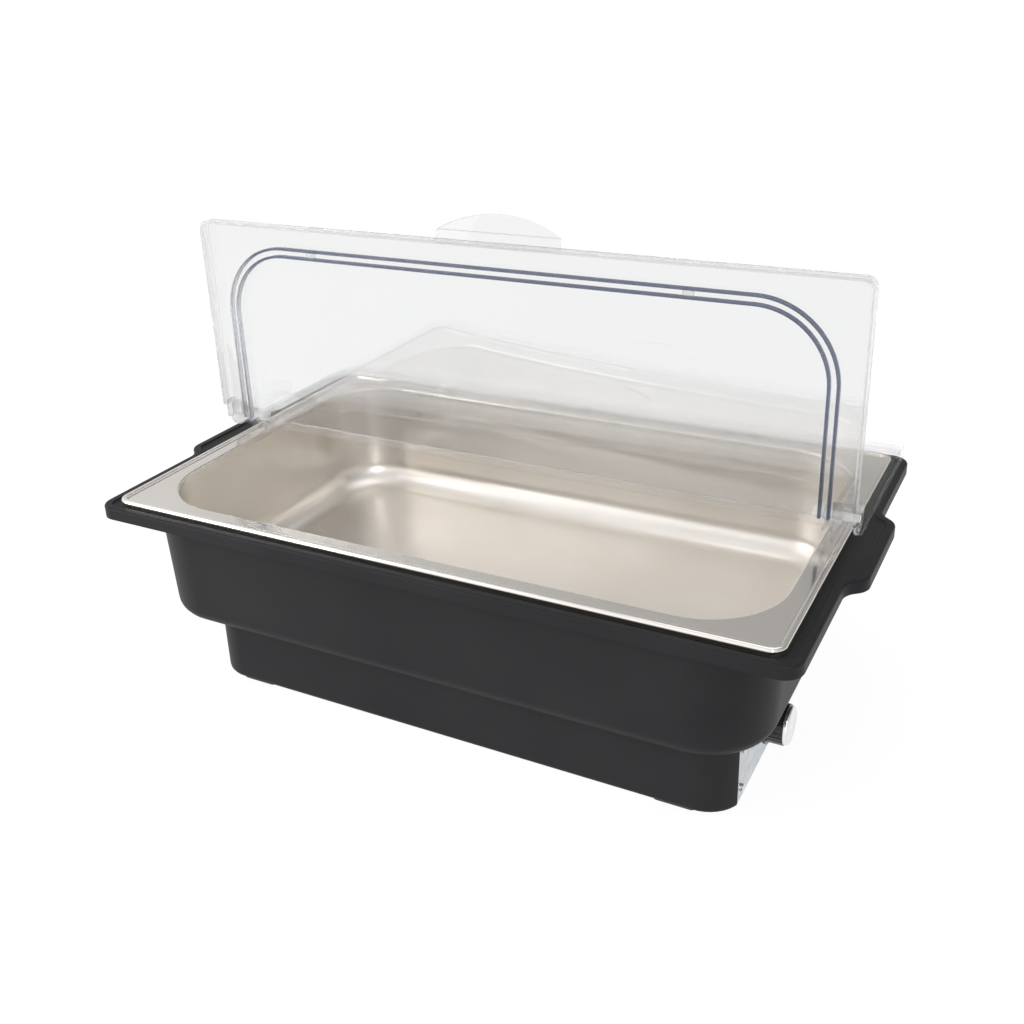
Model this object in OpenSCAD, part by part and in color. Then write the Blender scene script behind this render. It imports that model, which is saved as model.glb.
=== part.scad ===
// Electric chafing dish food warmer: plastic housing, full-size steel pan, two-leaf clear lid.
// Origin: on the floor under the middle of the housing. +X runs to the control end, +Y to the back.

/* [Housing] */
// Length of the raised lip, without the hand grips
lip_len = 554; // [548:1:566]
// Width of the raised lip
lip_wid = 342; // [340:1:350]
// Height of the lip's top above the floor
lip_z = 152; // [150:1:160]
// Height of the lip's outer face
lip_drop = 9.5; // [8:0.5:14]
// Length of the tub at its top
tub_len = 512; // [511:1:516]
// Width of the tub at its top
tub_wid = 322; // [318:1:326]
// Height of the step between tub and base above the floor
step_z = 55; // [54:0.5:58]
// Wall thickness of the moulding
wall = 3; // [2.5:0.5:3]
// How far each hand grip stands out past the lip
grip_out = 13; // [8:1:20]
// Length of the straight outer edge of a hand grip
grip_len = 92; // [80:2:120]
// Length over which each end of a grip swings back to the lip
grip_fade = 11; // [9:1:20]

/* [Base] */
// Length of the base
base_len = 440; // [430:1:442]
// Width of the base
base_wid = 285; // [280:1:290]
// How far the base's middle lies towards the control end
base_shift = 14.5; // [12:0.5:16]
// Corner radius of the base
base_r = 29; // [26:1:32]
// Height of the foot pads
foot_h = 3.5; // [3:0.5:5]

/* [Food pan] */
// Length over the pan's rim
pan_len = 530; // [528:1:531]
// Width over the pan's rim
pan_wid = 325; // [323:1:326]
// Width of the flat rim round the opening
rim_w = 15.5; // [14:0.5:17]
// Corner radius of the pan's opening
pan_r = 60; // [50:1:66]
// Height of the turned-down edge
bead_h = 5.4; // [4:0.2:6]
// Sheet thickness of the pan and the water tray
sheet = 0.8; // [0.6:0.1:1]

/* [Lid] */
// Length of the lid
lid_len = 545; // [542:1:547]
// Depth of one leaf from the hinge line to its free edge
leaf_d = 174; // [172:1:176]
// Thickness of the clear panels
panel_t = 3; // [2.5:0.5:3.5]
// Depth of the skirt below the top of the panel
skirt_d = 10; // [8:0.5:10]
// Distance from the free edge to the outer rib
rib_in = 18.2; // [16:0.2:24]
// Height of the ribs under the panel
rib_h = 3.2; // [2.5:0.1:3.5]
// How far the standing front leaf is turned open
leaf_open = 90; // [80:1:95]
// Length of the half-moon tab
tab_len = 103; // [90:1:120]
// How far the tab stands out from the edge
tab_out = 22; // [16:1:26]
// Upward slope of the tab
tab_tilt = 25; // [0:1:30]

/* [Controls] */
// Distance of the knob's axis in front of the middle
knob_y = 62; // [50:1:75]
// Height of the knob's axis above the floor
knob_z = 34; // [30:1:38]
// Diameter of the knob's grip
knob_d = 30; // [26:1:34]

/* [Hidden] */
$fn = 96;
eps = 0.01;

// Housing levels and outlines
step_t = 2.5;
tub_floor = step_z + step_t;
ledge_z = lip_z - 1.3;
lip_under = lip_z - lip_drop;
tub_r = 56;
tub_draft = 4;
base_x1 = base_shift + base_len / 2;
base_x0 = base_shift - base_len / 2;

// Water tray and the opening it hangs in
tray_flange_z = tub_floor - 1;
tray_x0 = base_x0 + 19;
tray_x1 = base_x1 - 27;
tray_hw = base_wid / 2 - 17.5;
tray_mid = (tray_x0 + tray_x1) / 2;
tray_len = tray_x1 - tray_x0;
tray_lap = 8;
tray_z = 42;
gasket_t = 0.8;

// Heater under the tray
tube_d = 6.5;
tube_z = tray_z - tube_d / 2;
run_y = 25;
run_x = 140;
clamp_t = 1;
clamp_z = tray_z - tube_d - clamp_t;
stud_x = 110;
stud_y = 50;
stud_r = 2.5;

// Bottom cover and control plate
cover_z = foot_h + 4;
cover_t = 1;
plate_x = base_x1 - 3.5;
plate_t = 1.2;
plate_hw = base_wid / 2 - 17.5;
strip_t = 4;
screw_r = 1.5;

// Pan levels
rim_z = ledge_z + 0.3 + bead_h;
pan_floor = tub_floor + 0.3;
pan_open_len = pan_len - 2 * rim_w;
pan_open_wid = pan_wid - 2 * rim_w;

// Lid levels and hinge
rib_gap = 0.4;
panel_z = rim_z + rib_gap + rib_h;
top_z = panel_z + panel_t;
hinge_z = top_z + 9;
edge_gap = 2;
skirt_t = 2.4;
knuckle_r = 5.5;
pin_r = 3;
bore_r = 3.05;
ear_r = 11.5;
leaf_r = 8;
rib_w = 2.7;
rib_step = 6.3;
rib_r = 60;

// Stations of the hinge pieces along the lid, from its middle
head_x0 = 240;
head_x1 = 247.5;
knuckle_a = [248, 254.6];
knuckle_b = [255, 261];
knuckle_c = [261.4, lid_len / 2 - skirt_t - 0.4];
ear_x = [lid_len / 2 - skirt_t, lid_len / 2];

// Rounded rectangle, exact arcs
module rrect(l, w, r) {
    square([l - 2 * r, w], center = true);
    square([l, w - 2 * r], center = true);
    for (sx = [-1, 1], sy = [-1, 1])
        translate([sx * (l / 2 - r), sy * (w / 2 - r)]) circle(r);
}

// Rounded rectangle slab standing on height z
module slab(l, w, r, z, h) {
    translate([0, 0, z]) linear_extrude(h) rrect(l, w, r);
}

// Cylinder along +X starting at a point
module xrod(p, r, l) {
    translate(p) rotate([0, 90, 0]) cylinder(r = r, h = l);
}

module scale_x(s) {
    if (s > 0) children();
    else mirror([1, 0, 0]) children();
}

module scale_y(s) {
    if (s > 0) children();
    else mirror([0, 1, 0]) children();
}

// Points of one end of a hand grip, swinging out in an S from the lip; side is -1 or 1
function grip_end(x0, y0, fade, side) = [for (i = [0 : 12])
    let (t = side < 0 ? i / 12 : 1 - i / 12)
    [x0 + grip_out * (1 - cos(180 * t)) / 2, side * (y0 + fade * (1 - t))]];

// Outline of the lip with the two flared hand grips, grown or shrunk by d
module lip_outline(d) {
    x0 = lip_len / 2 + d;
    half = grip_len / 2 + 0.6 * d;
    rrect(lip_len + 2 * d, lip_wid + 2 * d, 14 + d);
    for (s = [-1, 1]) scale_x(s)
        polygon(concat([[0, -half - grip_fade]], grip_end(x0, half, grip_fade, -1),
            grip_end(x0, half, grip_fade, 1), [[0, half + grip_fade]]));
}

// Solid of the tub between its top and the step; d shrinks it, lift raises its floor
module tub_solid(d, lift) {
    low_r = tub_r - tub_draft - d;
    hull() {
        slab(tub_len - 2 * d, tub_wid - 2 * d, tub_r - d, lip_under + lift, 1, $fn = 32);
        slab(tub_len - 2 * tub_draft - 2 * d, tub_wid - tub_draft - 2 * d, low_r, step_z + 4 + lift, 1, $fn = 32);
        slab(tub_len - 2 * tub_draft - 2 * d - 6, tub_wid - tub_draft - 2 * d - 6, low_r - 3, step_z + lift, 1,
            $fn = 32);
    }
}

module base_outline(d) {
    translate([base_shift, 0]) rrect(base_len - 2 * d, base_wid - 2 * d, base_r - d);
}

// Ledge blocks that carry the bottom cover, inside the base walls
cover_lugs = [for (x = [base_x0 + 75, base_shift, base_x1 - 85], s = [-1, 1]) [x, s * (base_wid / 2 - 9)]];

module housing_shell() color([0.14, 0.14, 0.15]) {
    difference() {
        union() {
            // Lip ring with its outer skirt
            difference() {
                translate([0, 0, lip_under]) linear_extrude(lip_drop) lip_outline(0);
                translate([0, 0, lip_under - 1]) linear_extrude(lip_drop - wall - 0.3) lip_outline(-wall);
            }
            tub_solid(0, 0);
            slab(tub_len, tub_wid, tub_r, lip_under + 0.5, lip_drop - wall);
            // Base walls with the ring that carries the tray
            translate([0, 0, foot_h]) linear_extrude(step_z - foot_h + 1) base_outline(0);
        }
        // Sunk shelf that takes the pan's turned-down edge and dishes the two grips
        slab(pan_len + 4.5, pan_wid + 4.5, 13, ledge_z, 10);
        translate([0, 0, ledge_z]) linear_extrude(10) lip_outline((pan_len + 4.5 - lip_len) / 2);
        // Inside of the tub
        tub_solid(wall, step_t);
        translate([0, 0, lip_under]) linear_extrude(lip_drop + 1) rrect(tub_len - 2 * wall, tub_wid - 2 * wall,
            tub_r - wall);
        // Inside of the base below the tray ring
        translate([0, 0, foot_h - 1]) linear_extrude(step_z - 3 - foot_h + 1) base_outline(wall);
        // Opening and rebate for the water tray
        translate([tray_mid, 0, 0]) slab(tray_len - 2 * tray_lap, 2 * tray_hw - 2 * tray_lap, 14, step_z - 5, 20);
        translate([tray_mid, 0, 0]) slab(tray_len, 2 * tray_hw, 22, tray_flange_z - gasket_t, 20);
        // Window for the control plate at the right-hand end
        translate([plate_x - 1 - wall, -plate_hw - 0.5, foot_h - 1]) cube([40, 2 * plate_hw + 1, step_z - foot_h + 1]);
    }
    // Strips behind the plate's ends, joined to the base's corners
    for (s = [-1, 1]) scale_y(s) difference() {
        translate([plate_x - plate_t - strip_t, plate_hw - 14, cover_z + cover_t + 0.3])
            cube([strip_t, 17.5, step_z - 3 - cover_z - cover_t - 0.3 + eps]);
        for (z = plate_screw_z) xrod([plate_x - 12, plate_hw - 8, z], screw_r, 20);
    }
    // Lugs under the corners that carry the foot pads
    for (p = foot_places) translate([p[0] - foot_len / 2, p[1] - foot_wid / 2, foot_h])
        cube([foot_len, foot_wid, cover_z - foot_h - 0.2]);
    // Blocks that take the bottom cover's screws
    for (p = cover_lugs) translate([p[0], p[1], cover_z + cover_t]) difference() {
        translate([-5, -6.5, 0]) cube([10, 13, 14]);
        translate([0, 0, -1]) cylinder(r = screw_r, h = 12);
    }
}

plate_screw_z = [cover_z + 7, step_z - 9];
foot_len = 34;
foot_wid = 16;
pad_wid = 9;
foot_places = [for (x = [base_x0 + base_r + foot_len / 2 - 6, base_x1 - base_r - foot_len / 2 + 2],
    s = [-1, 1]) [x, s * (base_wid / 2 - wall / 2 - foot_wid / 2)]];

module foot_pads() color([0.08, 0.08, 0.08]) {
    for (p = foot_places) translate([p[0] - foot_len / 2 + 1, p[1] - pad_wid / 2, 0])
        cube([foot_len - 2, pad_wid, foot_h]);
}

module bottom_cover() color([0.72, 0.74, 0.76]) difference() {
    inset = wall + 0.5;
    translate([0, 0, cover_z]) linear_extrude(cover_t) difference() {
        base_outline(inset);
        translate([plate_x - plate_t - 0.4, -base_wid]) square([60, 2 * base_wid]);
    }
    for (p = cover_lugs) translate([p[0], p[1], 0]) cylinder(r = 2, h = 40);
    for (x = [-4 : 4], y = [-1, 1]) translate([x * 26, y * 60 - 12, cover_z - 1]) cube([4, 24, 3]);
}

module bottom_cover_screws() color([0.75, 0.75, 0.77]) {
    for (p = cover_lugs) translate([p[0], p[1], 0]) {
        translate([0, 0, cover_z - 2]) cylinder(r = 3.2, h = 2);
        translate([0, 0, cover_z - eps]) cylinder(r = screw_r, h = 10);
    }
}

inlet_y = 64;
inlet_z = 34;
lamp_y = 14;
nose_r = 5;

module control_plate() color([0.74, 0.77, 0.8]) difference() {
    translate([plate_x - plate_t, -plate_hw, foot_h + 1]) cube([plate_t, 2 * plate_hw, step_z - foot_h - 1.3]);
    xrod([plate_x - 5, -knob_y, knob_z], nose_r + 0.2, 10);
    xrod([plate_x - 5, -lamp_y, knob_z], 5.1, 10);
    translate([plate_x - 5, inlet_y - 14, inlet_z - 10.5]) cube([10, 28, 21]);
    for (s = [-1, 1]) {
        for (z = plate_screw_z) xrod([plate_x - 5, s * (plate_hw - 8), z], 2, 10);
        xrod([plate_x - 5, inlet_y + s * 20, inlet_z], 1.8, 10);
        xrod([plate_x - 5, -knob_y + s * 14, knob_z], 1.8, 10);
    }
    xrod([plate_x - 5, 30, 18], 2.2, 10);
}

// Pan head screw whose head seats on the plate's outer face
module plate_screw(y, z, r, l) {
    xrod([plate_x, y, z], r * 1.9, 2.2);
    xrod([plate_x - l, y, z], r, l + eps);
}

module control_plate_screws() color([0.78, 0.78, 0.8]) {
    for (s = [-1, 1], z = plate_screw_z) plate_screw(s * (plate_hw - 8), z, screw_r, 5);
}

module water_tray() color([0.78, 0.77, 0.75]) translate([tray_mid, 0, 0]) {
    body_l = tray_len - 2 * tray_lap - 2;
    body_w = 2 * tray_hw - 2 * tray_lap - 2;
    difference() {
        union() {
            slab(tray_len - 0.6, 2 * tray_hw - 0.6, 21.7, tray_flange_z, sheet);
            slab(body_l, body_w, 13, tray_z, tray_flange_z - tray_z + eps);
        }
        slab(body_l - 2 * sheet, body_w - 2 * sheet, 13 - sheet, tray_z + sheet, 40);
    }
}

module tray_gasket() color([0.55, 0.2, 0.15]) translate([tray_mid, 0, 0]) difference() {
    slab(tray_len - 0.6, 2 * tray_hw - 0.6, 21.7, tray_flange_z - gasket_t, gasket_t);
    slab(tray_len - 2 * tray_lap, 2 * tray_hw - 2 * tray_lap, 14, tray_flange_z - 5, 20);
}

// Half ring of the element's tube about a point, opening towards +X or -X
module tube_bend(x, y, turn) {
    translate([x, y, tube_z]) rotate([0, 0, turn]) rotate_extrude(angle = 180)
        translate([run_y, 0]) circle(tube_d / 2);
}

module heating_element() color([0.45, 0.42, 0.4]) {
    for (y = [-run_y, run_y]) xrod([-run_x, y, tube_z], tube_d / 2, 2 * run_x);
    for (y = [-3 * run_y, 3 * run_y]) {
        xrod([-run_x, y, tube_z], tube_d / 2, 2 * run_x + 26);
        xrod([run_x + 26, y, tube_z], 1.6, 14);
    }
    tube_bend(-run_x, -2 * run_y, 90);
    tube_bend(-run_x, 2 * run_y, 90);
    tube_bend(run_x, 0, -90);
}

module clamp_plate() color([0.7, 0.7, 0.68]) difference() {
    slab(2 * run_x + 20, 6 * run_y + 24, 8, clamp_z, clamp_t);
    for (sx = [-1, 1], sy = [-1, 1]) translate([sx * stud_x, sy * stud_y, clamp_z - 1]) cylinder(r = 2.7, h = 4);
    translate([60, 0, clamp_z - 1]) cylinder(r = 10, h = 4);
}

module clamp_studs() color([0.8, 0.8, 0.8]) {
    for (sx = [-1, 1], sy = [-1, 1]) translate([sx * stud_x, sy * stud_y, clamp_z - 9])
        cylinder(r = stud_r, h = tray_z - clamp_z + 9);
}

module clamp_nuts() color([0.78, 0.76, 0.7]) {
    for (sx = [-1, 1], sy = [-1, 1]) translate([sx * stud_x, sy * stud_y, clamp_z - 4]) difference() {
        cylinder(r = 4.6, h = 4, $fn = 6);
        translate([0, 0, -1]) cylinder(r = stud_r, h = 6);
    }
}

module insulation_pad() color([0.85, 0.82, 0.7]) difference() {
    translate([tray_mid - 40, 0, 0]) slab(300, 2 * tray_hw - 30, 10, cover_z + cover_t, 14);
    for (sx = [-1, 1], sy = [-1, 1]) translate([sx * stud_x, sy * stud_y, 0]) cylinder(r = 8, h = 60);
}

module thermal_cutout() color([0.2, 0.2, 0.2]) {
    translate([60, 0, tray_z - 9]) cylinder(r = 8, h = 9);
    for (s = [-1, 1]) translate([60 + s * 4 - 0.4, -3, tray_z - 17]) cube([0.8, 6, 8 + eps]);
}

// Capillary route in plan at one height, along +X and round to the thermostat
cap_y = 2 * run_y + 8;
cap_z = tray_z - 3;
cap_x = 190;
cap_bend = 12;
thermo_x0 = cap_x + cap_bend;

module sensing_bulb() color([0.75, 0.55, 0.35]) {
    xrod([-30, cap_y, cap_z], 3, 60);
    xrod([30, cap_y, cap_z], 1, cap_x - cap_bend - 30);
    translate([cap_x - cap_bend, cap_y - cap_bend, cap_z]) rotate_extrude(angle = 90)
        translate([cap_bend, 0]) circle(1);
    translate([cap_x, cap_y - cap_bend, cap_z]) rotate([90, 0, 0])
        cylinder(r = 1, h = cap_y + knob_y - 2 * cap_bend);
    translate([cap_x + cap_bend, -knob_y + cap_bend, cap_z]) rotate([0, 0, 180])
        rotate_extrude(angle = 90) translate([cap_bend, 0]) circle(1);
}

module thermostat_body() color([0.9, 0.88, 0.82]) difference() {
    union() {
        translate([thermo_x0, -knob_y - 20, knob_z - 14]) cube([plate_x - plate_t - thermo_x0, 40, 28]);
        xrod([plate_x - plate_t - eps, -knob_y, knob_z], nose_r, plate_t + 1.2);
    }
    xrod([thermo_x0 + 6, -knob_y, knob_z], bore_r, 40);
    for (s = [-1, 1]) xrod([plate_x - 8, -knob_y + s * 14, knob_z], screw_r, 20);
}

module thermostat_screws() color([0.78, 0.78, 0.8]) {
    for (s = [-1, 1]) {
        xrod([plate_x, -knob_y + s * 14, knob_z], 2.8, 1);
        xrod([plate_x - 5.5, -knob_y + s * 14, knob_z], screw_r, 5.5 + eps);
    }
}

module indicator_lamp() color([0.85, 0.45, 0.1]) {
    xrod([plate_x, -lamp_y, knob_z], 6.5, 1.2);
    xrod([plate_x + 1.2 - eps, -lamp_y, knob_z], 4.5, 1.6);
    xrod([plate_x - 22, -lamp_y, knob_z], 4.9, 22 + eps);
}

module power_inlet() color([0.1, 0.1, 0.1]) {
    depth = 17;
    difference() {
        union() {
            translate([plate_x, inlet_y - 25, inlet_z - 11.5]) cube([2.5, 50, 23]);
            translate([plate_x - depth, inlet_y - 13.8, inlet_z - 10.3]) cube([depth + eps, 27.6, 20.6]);
        }
        translate([plate_x - depth + 2, inlet_y - 12.2, inlet_z - 8.5]) cube([40, 24.4, 17]);
        for (s = [-1, 1]) xrod([plate_x - 5, inlet_y + s * 20, inlet_z], 1.8, 10);
    }
    for (p = [[-7, -2], [0, 2], [7, -2]])
        translate([plate_x - depth - 8, inlet_y + p[0] - 1, inlet_z + p[1] - 2]) cube([depth + 6, 2, 4]);
}

module inlet_screws() color([0.78, 0.78, 0.8]) {
    for (s = [-1, 1]) {
        xrod([plate_x + 2.5, inlet_y + s * 20, inlet_z], 3, 1.8);
        xrod([plate_x - 7, inlet_y + s * 20, inlet_z], screw_r, 9.5 + eps);
    }
}

module terminal_block() color([0.92, 0.9, 0.85]) difference() {
    translate([168, 10, cover_z + cover_t]) cube([34, 22, 18]);
    for (x = [174, 185, 196]) translate([x, 21, cover_z + 8]) cylinder(r = 2.2, h = 20);
}

module earth_stud() color([0.85, 0.7, 0.35]) {
    xrod([plate_x - 18, 30, 18], 2, 18);
    xrod([plate_x - plate_t - 3.2, 30, 18], 3.6, 3.2);
    xrod([plate_x, 30, 18], 3.4, 1.6);
}

// Knob stations along X, measured from the plate's outer face
knob_gap = 1.8;
knob_skirt_l = 3;
knob_body_l = 11.5;
shaft_reach = 12;
cap_l = 3;

module thermostat_shaft() color([0.7, 0.7, 0.7])
    xrod([thermo_x0 + 7, -knob_y, knob_z], pin_r, plate_x + knob_gap + shaft_reach - thermo_x0 - 7);

module knob_body() color([0.05, 0.05, 0.05]) difference() {
    x0 = plate_x + knob_gap;
    union() {
        xrod([x0, -knob_y, knob_z], knob_d / 2 + 2, knob_skirt_l);
        xrod([x0 + knob_skirt_l - eps, -knob_y, knob_z], knob_d / 2, knob_body_l);
    }
    xrod([x0 - 1, -knob_y, knob_z], pin_r, shaft_reach + 1);
    for (a = [0 : 15 : 345]) translate([x0 + knob_skirt_l + 1, -knob_y, knob_z]) rotate([a, 0, 0])
        translate([0, knob_d / 2 - 0.5, -0.6]) cube([knob_body_l, 2, 1.2]);
}

module knob_cap() color([0.8, 0.8, 0.82])
    translate([plate_x + knob_gap + knob_skirt_l + knob_body_l - eps, -knob_y, knob_z]) rotate([0, 90, 0]) {
        cylinder(r = knob_d / 2 - 0.8, h = cap_l - 1.5);
        translate([0, 0, cap_l - 1.5 - eps]) cylinder(r1 = knob_d / 2 - 0.8, r2 = knob_d / 2 - 2.8, h = 1.5);
    }

// Pan cavity with its sloping walls and rounded floor edge; d grows it outwards
module pan_solid(d) {
    slope = 6;
    round_in = 12;
    hull() {
        slab(pan_open_len + 2 * d, pan_open_wid + 2 * d, pan_r + d, rim_z - sheet, sheet, $fn = 48);
        slab(pan_open_len - 2 * slope + 2 * d, pan_open_wid - 2 * slope + 2 * d, pan_r - slope + d,
            pan_floor + sheet + round_in - d, 0.5, $fn = 48);
        slab(pan_open_len - 2 * slope - 7 + 2 * d, pan_open_wid - 2 * slope - 7 + 2 * d, pan_r - slope - 3.5 + d,
            pan_floor + sheet + 3.5 - d, 0.5, $fn = 48);
        slab(pan_open_len - 2 * slope - 2 * round_in + 2 * d, pan_open_wid - 2 * slope - 2 * round_in + 2 * d,
            pan_r - slope - round_in + d, pan_floor + sheet - d, 0.5, $fn = 48);
    }
}

module food_pan() color([0.8, 0.78, 0.74]) difference() {
    union() {
        pan_solid(sheet);
        slab(pan_len, pan_wid, 11, rim_z - sheet, sheet);
        difference() {
            slab(pan_len, pan_wid, 11, rim_z - bead_h, bead_h);
            slab(pan_len - 3, pan_wid - 3, 9.5, rim_z - bead_h - 1, bead_h + 1 - sheet);
        }
    }
    pan_solid(0);
    translate([0, 0, rim_z - sheet]) linear_extrude(5) rrect(pan_open_len, pan_open_wid, pan_r);
}

// White headed pin through the knuckles at one end of the lid
module hinge_pin() color([0.93, 0.93, 0.9]) {
    xrod([head_x0, 0, hinge_z], 4.8, head_x1 - head_x0);
    xrod([head_x1 - eps, 0, hinge_z], pin_r, lid_len / 2 - 0.2 - head_x1);
}

module hinge_pin_right() hinge_pin();

module hinge_pin_left() mirror([1, 0, 0]) hinge_pin();

// Half-moon tab outline, standing on the X axis
module tab_outline() {
    side = 7;
    rise = tab_out - side;
    chord = tab_len / 2;
    r = (chord * chord + rise * rise) / (2 * rise);
    intersection() {
        translate([0, tab_out - r]) circle(r, $fn = 180);
        translate([-chord, -1]) square([tab_len, tab_out + 2]);
    }
}

// Outline with square ends at the hinge line and two round corners at the free edge
module arch(half, near, far, r) intersection() {
    rrect(2 * half, 2 * far, r);
    translate([-half - 1, near]) square([2 * half + 2, far]);
}

module rib(half, far, r) {
    translate([0, 0, panel_z - rib_h]) linear_extrude(rib_h + 0.5) difference() {
        arch(half, edge_gap, far, r);
        arch(half - rib_w, 0, far - rib_w, r - rib_w);
    }
}

// One leaf lying closed on the +Y side, with its panel, skirt, ribs, blocks and tab
module leaf() {
    half = lid_len / 2;
    rib_x = half - rib_in;
    rib_y = leaf_d - rib_in;
    difference() {
        translate([0, 0, top_z - skirt_d]) linear_extrude(skirt_d) arch(half, edge_gap, leaf_d, leaf_r);
        translate([0, 0, top_z - skirt_d - 1]) linear_extrude(skirt_d - panel_t + 1)
            arch(half - skirt_t, 0, leaf_d - skirt_t, leaf_r - skirt_t);
        // Clear the other leaf's ears near the hinge line
        for (s = [-1, 1]) translate([s * half, 0, top_z - skirt_d - 1]) translate([-3.2, -1, 0])
            cube([6.4, ear_r + 2, 40]);
    }
    rib(rib_x, rib_y, rib_r);
    rib(rib_x - rib_step, rib_y - rib_step, rib_r - rib_step);
    for (s = [-1, 1]) translate([s * 157 - 4, rib_y - rib_step - 1, panel_z - rib_h]) cube([8, rib_step, rib_h + 0.5]);
    translate([0, leaf_d - 0.5, top_z - panel_t]) rotate([tab_tilt, 0, 0]) linear_extrude(panel_t) tab_outline();
}

// Knuckle between two stations with its web down to the panel, bored for the pin
module knuckle(x) {
    difference() {
        union() {
            xrod([x[0], 0, hinge_z], knuckle_r, x[1] - x[0]);
            translate([x[0], 0, 0]) rotate([90, 0, 90]) linear_extrude(x[1] - x[0])
                polygon([[0, hinge_z + knuckle_r * 0.9], [knuckle_r * 0.9, hinge_z + 2], [15, top_z - 0.5],
                    [edge_gap, top_z - 0.5], [0, hinge_z - knuckle_r * 0.9]]);
        }
        xrod([x[0] - 1, 0, hinge_z], bore_r, x[1] - x[0] + 2);
    }
}

// Round ear at the very end, joined to the skirt beyond it
module ear() {
    difference() {
        union() {
            xrod([ear_x[0], 0, hinge_z], ear_r, ear_x[1] - ear_x[0]);
            translate([ear_x[0], 0, top_z - skirt_d + 0.5]) cube([ear_x[1] - ear_x[0], ear_r + 4, skirt_d + 4]);
        }
        xrod([ear_x[0] - 1, 0, hinge_z], bore_r, 10);
        translate([ear_x[0] - 1, -20, 0]) cube([10, 60, rim_z + 0.4]);
    }
}

module rear_leaf() color([0.85, 0.9, 0.93, 0.4]) {
    leaf();
    for (s = [-1, 1]) scale_x(s) {
        knuckle(knuckle_a);
        knuckle(knuckle_c);
    }
}

module front_leaf() color([0.85, 0.9, 0.93, 0.4])
    translate([0, 0, hinge_z]) rotate([-leaf_open, 0, 0]) translate([0, 0, -hinge_z]) mirror([0, 1, 0]) {
        leaf();
        for (s = [-1, 1]) scale_x(s) {
            knuckle(knuckle_b);
            ear();
        }
    }

housing_shell();
foot_pads();
bottom_cover();
bottom_cover_screws();
control_plate();
control_plate_screws();
water_tray();
tray_gasket();
heating_element();
clamp_plate();
clamp_studs();
clamp_nuts();
insulation_pad();
thermal_cutout();
thermostat_body();
thermostat_screws();
sensing_bulb();
indicator_lamp();
power_inlet();
inlet_screws();
terminal_block();
earth_stud();
thermostat_shaft();
knob_body();
knob_cap();
food_pan();
hinge_pin_left();
hinge_pin_right();
front_leaf();
rear_leaf();
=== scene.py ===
import math

import bmesh
import bpy
from mathutils import Matrix, Vector


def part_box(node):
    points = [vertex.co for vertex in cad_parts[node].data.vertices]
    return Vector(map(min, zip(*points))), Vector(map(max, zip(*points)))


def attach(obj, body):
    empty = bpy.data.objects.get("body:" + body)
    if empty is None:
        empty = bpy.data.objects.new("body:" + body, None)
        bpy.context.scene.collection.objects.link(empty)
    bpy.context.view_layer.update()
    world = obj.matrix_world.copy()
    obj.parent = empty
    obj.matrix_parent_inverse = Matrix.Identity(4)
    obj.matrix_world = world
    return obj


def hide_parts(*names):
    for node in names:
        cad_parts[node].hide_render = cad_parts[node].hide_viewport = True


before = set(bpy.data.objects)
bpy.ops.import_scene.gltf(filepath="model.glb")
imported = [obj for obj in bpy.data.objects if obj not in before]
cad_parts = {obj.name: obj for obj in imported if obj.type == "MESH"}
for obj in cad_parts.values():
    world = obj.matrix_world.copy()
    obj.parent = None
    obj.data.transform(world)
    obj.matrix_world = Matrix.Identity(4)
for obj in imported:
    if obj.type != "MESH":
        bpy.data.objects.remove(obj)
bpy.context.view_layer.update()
MM = 0.001

# ---- Camera ----
# A normal lens a little under a metre away, about half a metre above the counter. It is turned towards the
# control end and looks down into the pan, with a slight roll.
AIM = Vector((0, 0, 0.1703))
DISTANCE = 0.9309
turn = math.radians(28.3)
lift = math.radians(23.2)
roll = math.radians(-2.0)
view_back = Vector((math.sin(turn) * math.cos(lift), -math.cos(turn) * math.cos(lift), math.sin(lift)))
view_right = (-view_back).cross(Vector((0, 0, 1))).normalized()
view_up = view_right.cross(-view_back)
rolled_right = view_right * math.cos(roll) + view_up * math.sin(roll)
rolled_up = view_up * math.cos(roll) - view_right * math.sin(roll)
camera = bpy.data.objects.new("camera", bpy.data.cameras.new("camera"))
bpy.context.scene.collection.objects.link(camera)
camera.data.lens = 41.36
camera.data.shift_x = 0.0015
camera.data.shift_y = -0.0509
camera.matrix_world = Matrix.Translation(AIM + view_back * DISTANCE) @ Matrix(
    (rolled_right, rolled_up, view_back)).transposed().to_4x4()
bpy.context.scene.camera = camera


# ---- Housing ----
# One thick moulding of fine-textured black polypropylene: a lip with two flared hand grips, a tub that
# takes the pan, a step, and a narrower base with room for the heater. The base opens at the control end.
SAME_PLACE = 0.01 * MM
SAME_HEIGHT = 0.02 * MM


def deselect_all():
    """Leaves edit mode and clears the selection."""
    if bpy.context.object and bpy.context.object.mode != "OBJECT":
        bpy.ops.object.mode_set(mode="OBJECT")
    bpy.ops.object.select_all(action="DESELECT")


def only(piece):
    """Makes one piece the selected and active object."""
    deselect_all()
    piece.select_set(True)
    bpy.context.view_layer.objects.active = piece


def block(name, low, high):
    """A box between two corners, with its place in its mesh."""
    deselect_all()
    low, high = Vector(low), Vector(high)
    bpy.ops.mesh.primitive_cube_add(size=1, location=(low + high) / 2, scale=high - low)
    piece = bpy.context.object
    piece.name = name
    bpy.ops.object.transform_apply(location=True, rotation=True, scale=True)
    return piece


def sheet_plane(name, length, width, z, shift=0.0):
    """A flat rectangle facing up."""
    deselect_all()
    bpy.ops.mesh.primitive_plane_add(size=1, location=(shift, 0, z))
    piece = bpy.context.object
    piece.name = name
    piece.scale = (length, width, 1)
    bpy.ops.object.transform_apply(location=True, rotation=True, scale=True)
    return piece


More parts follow.
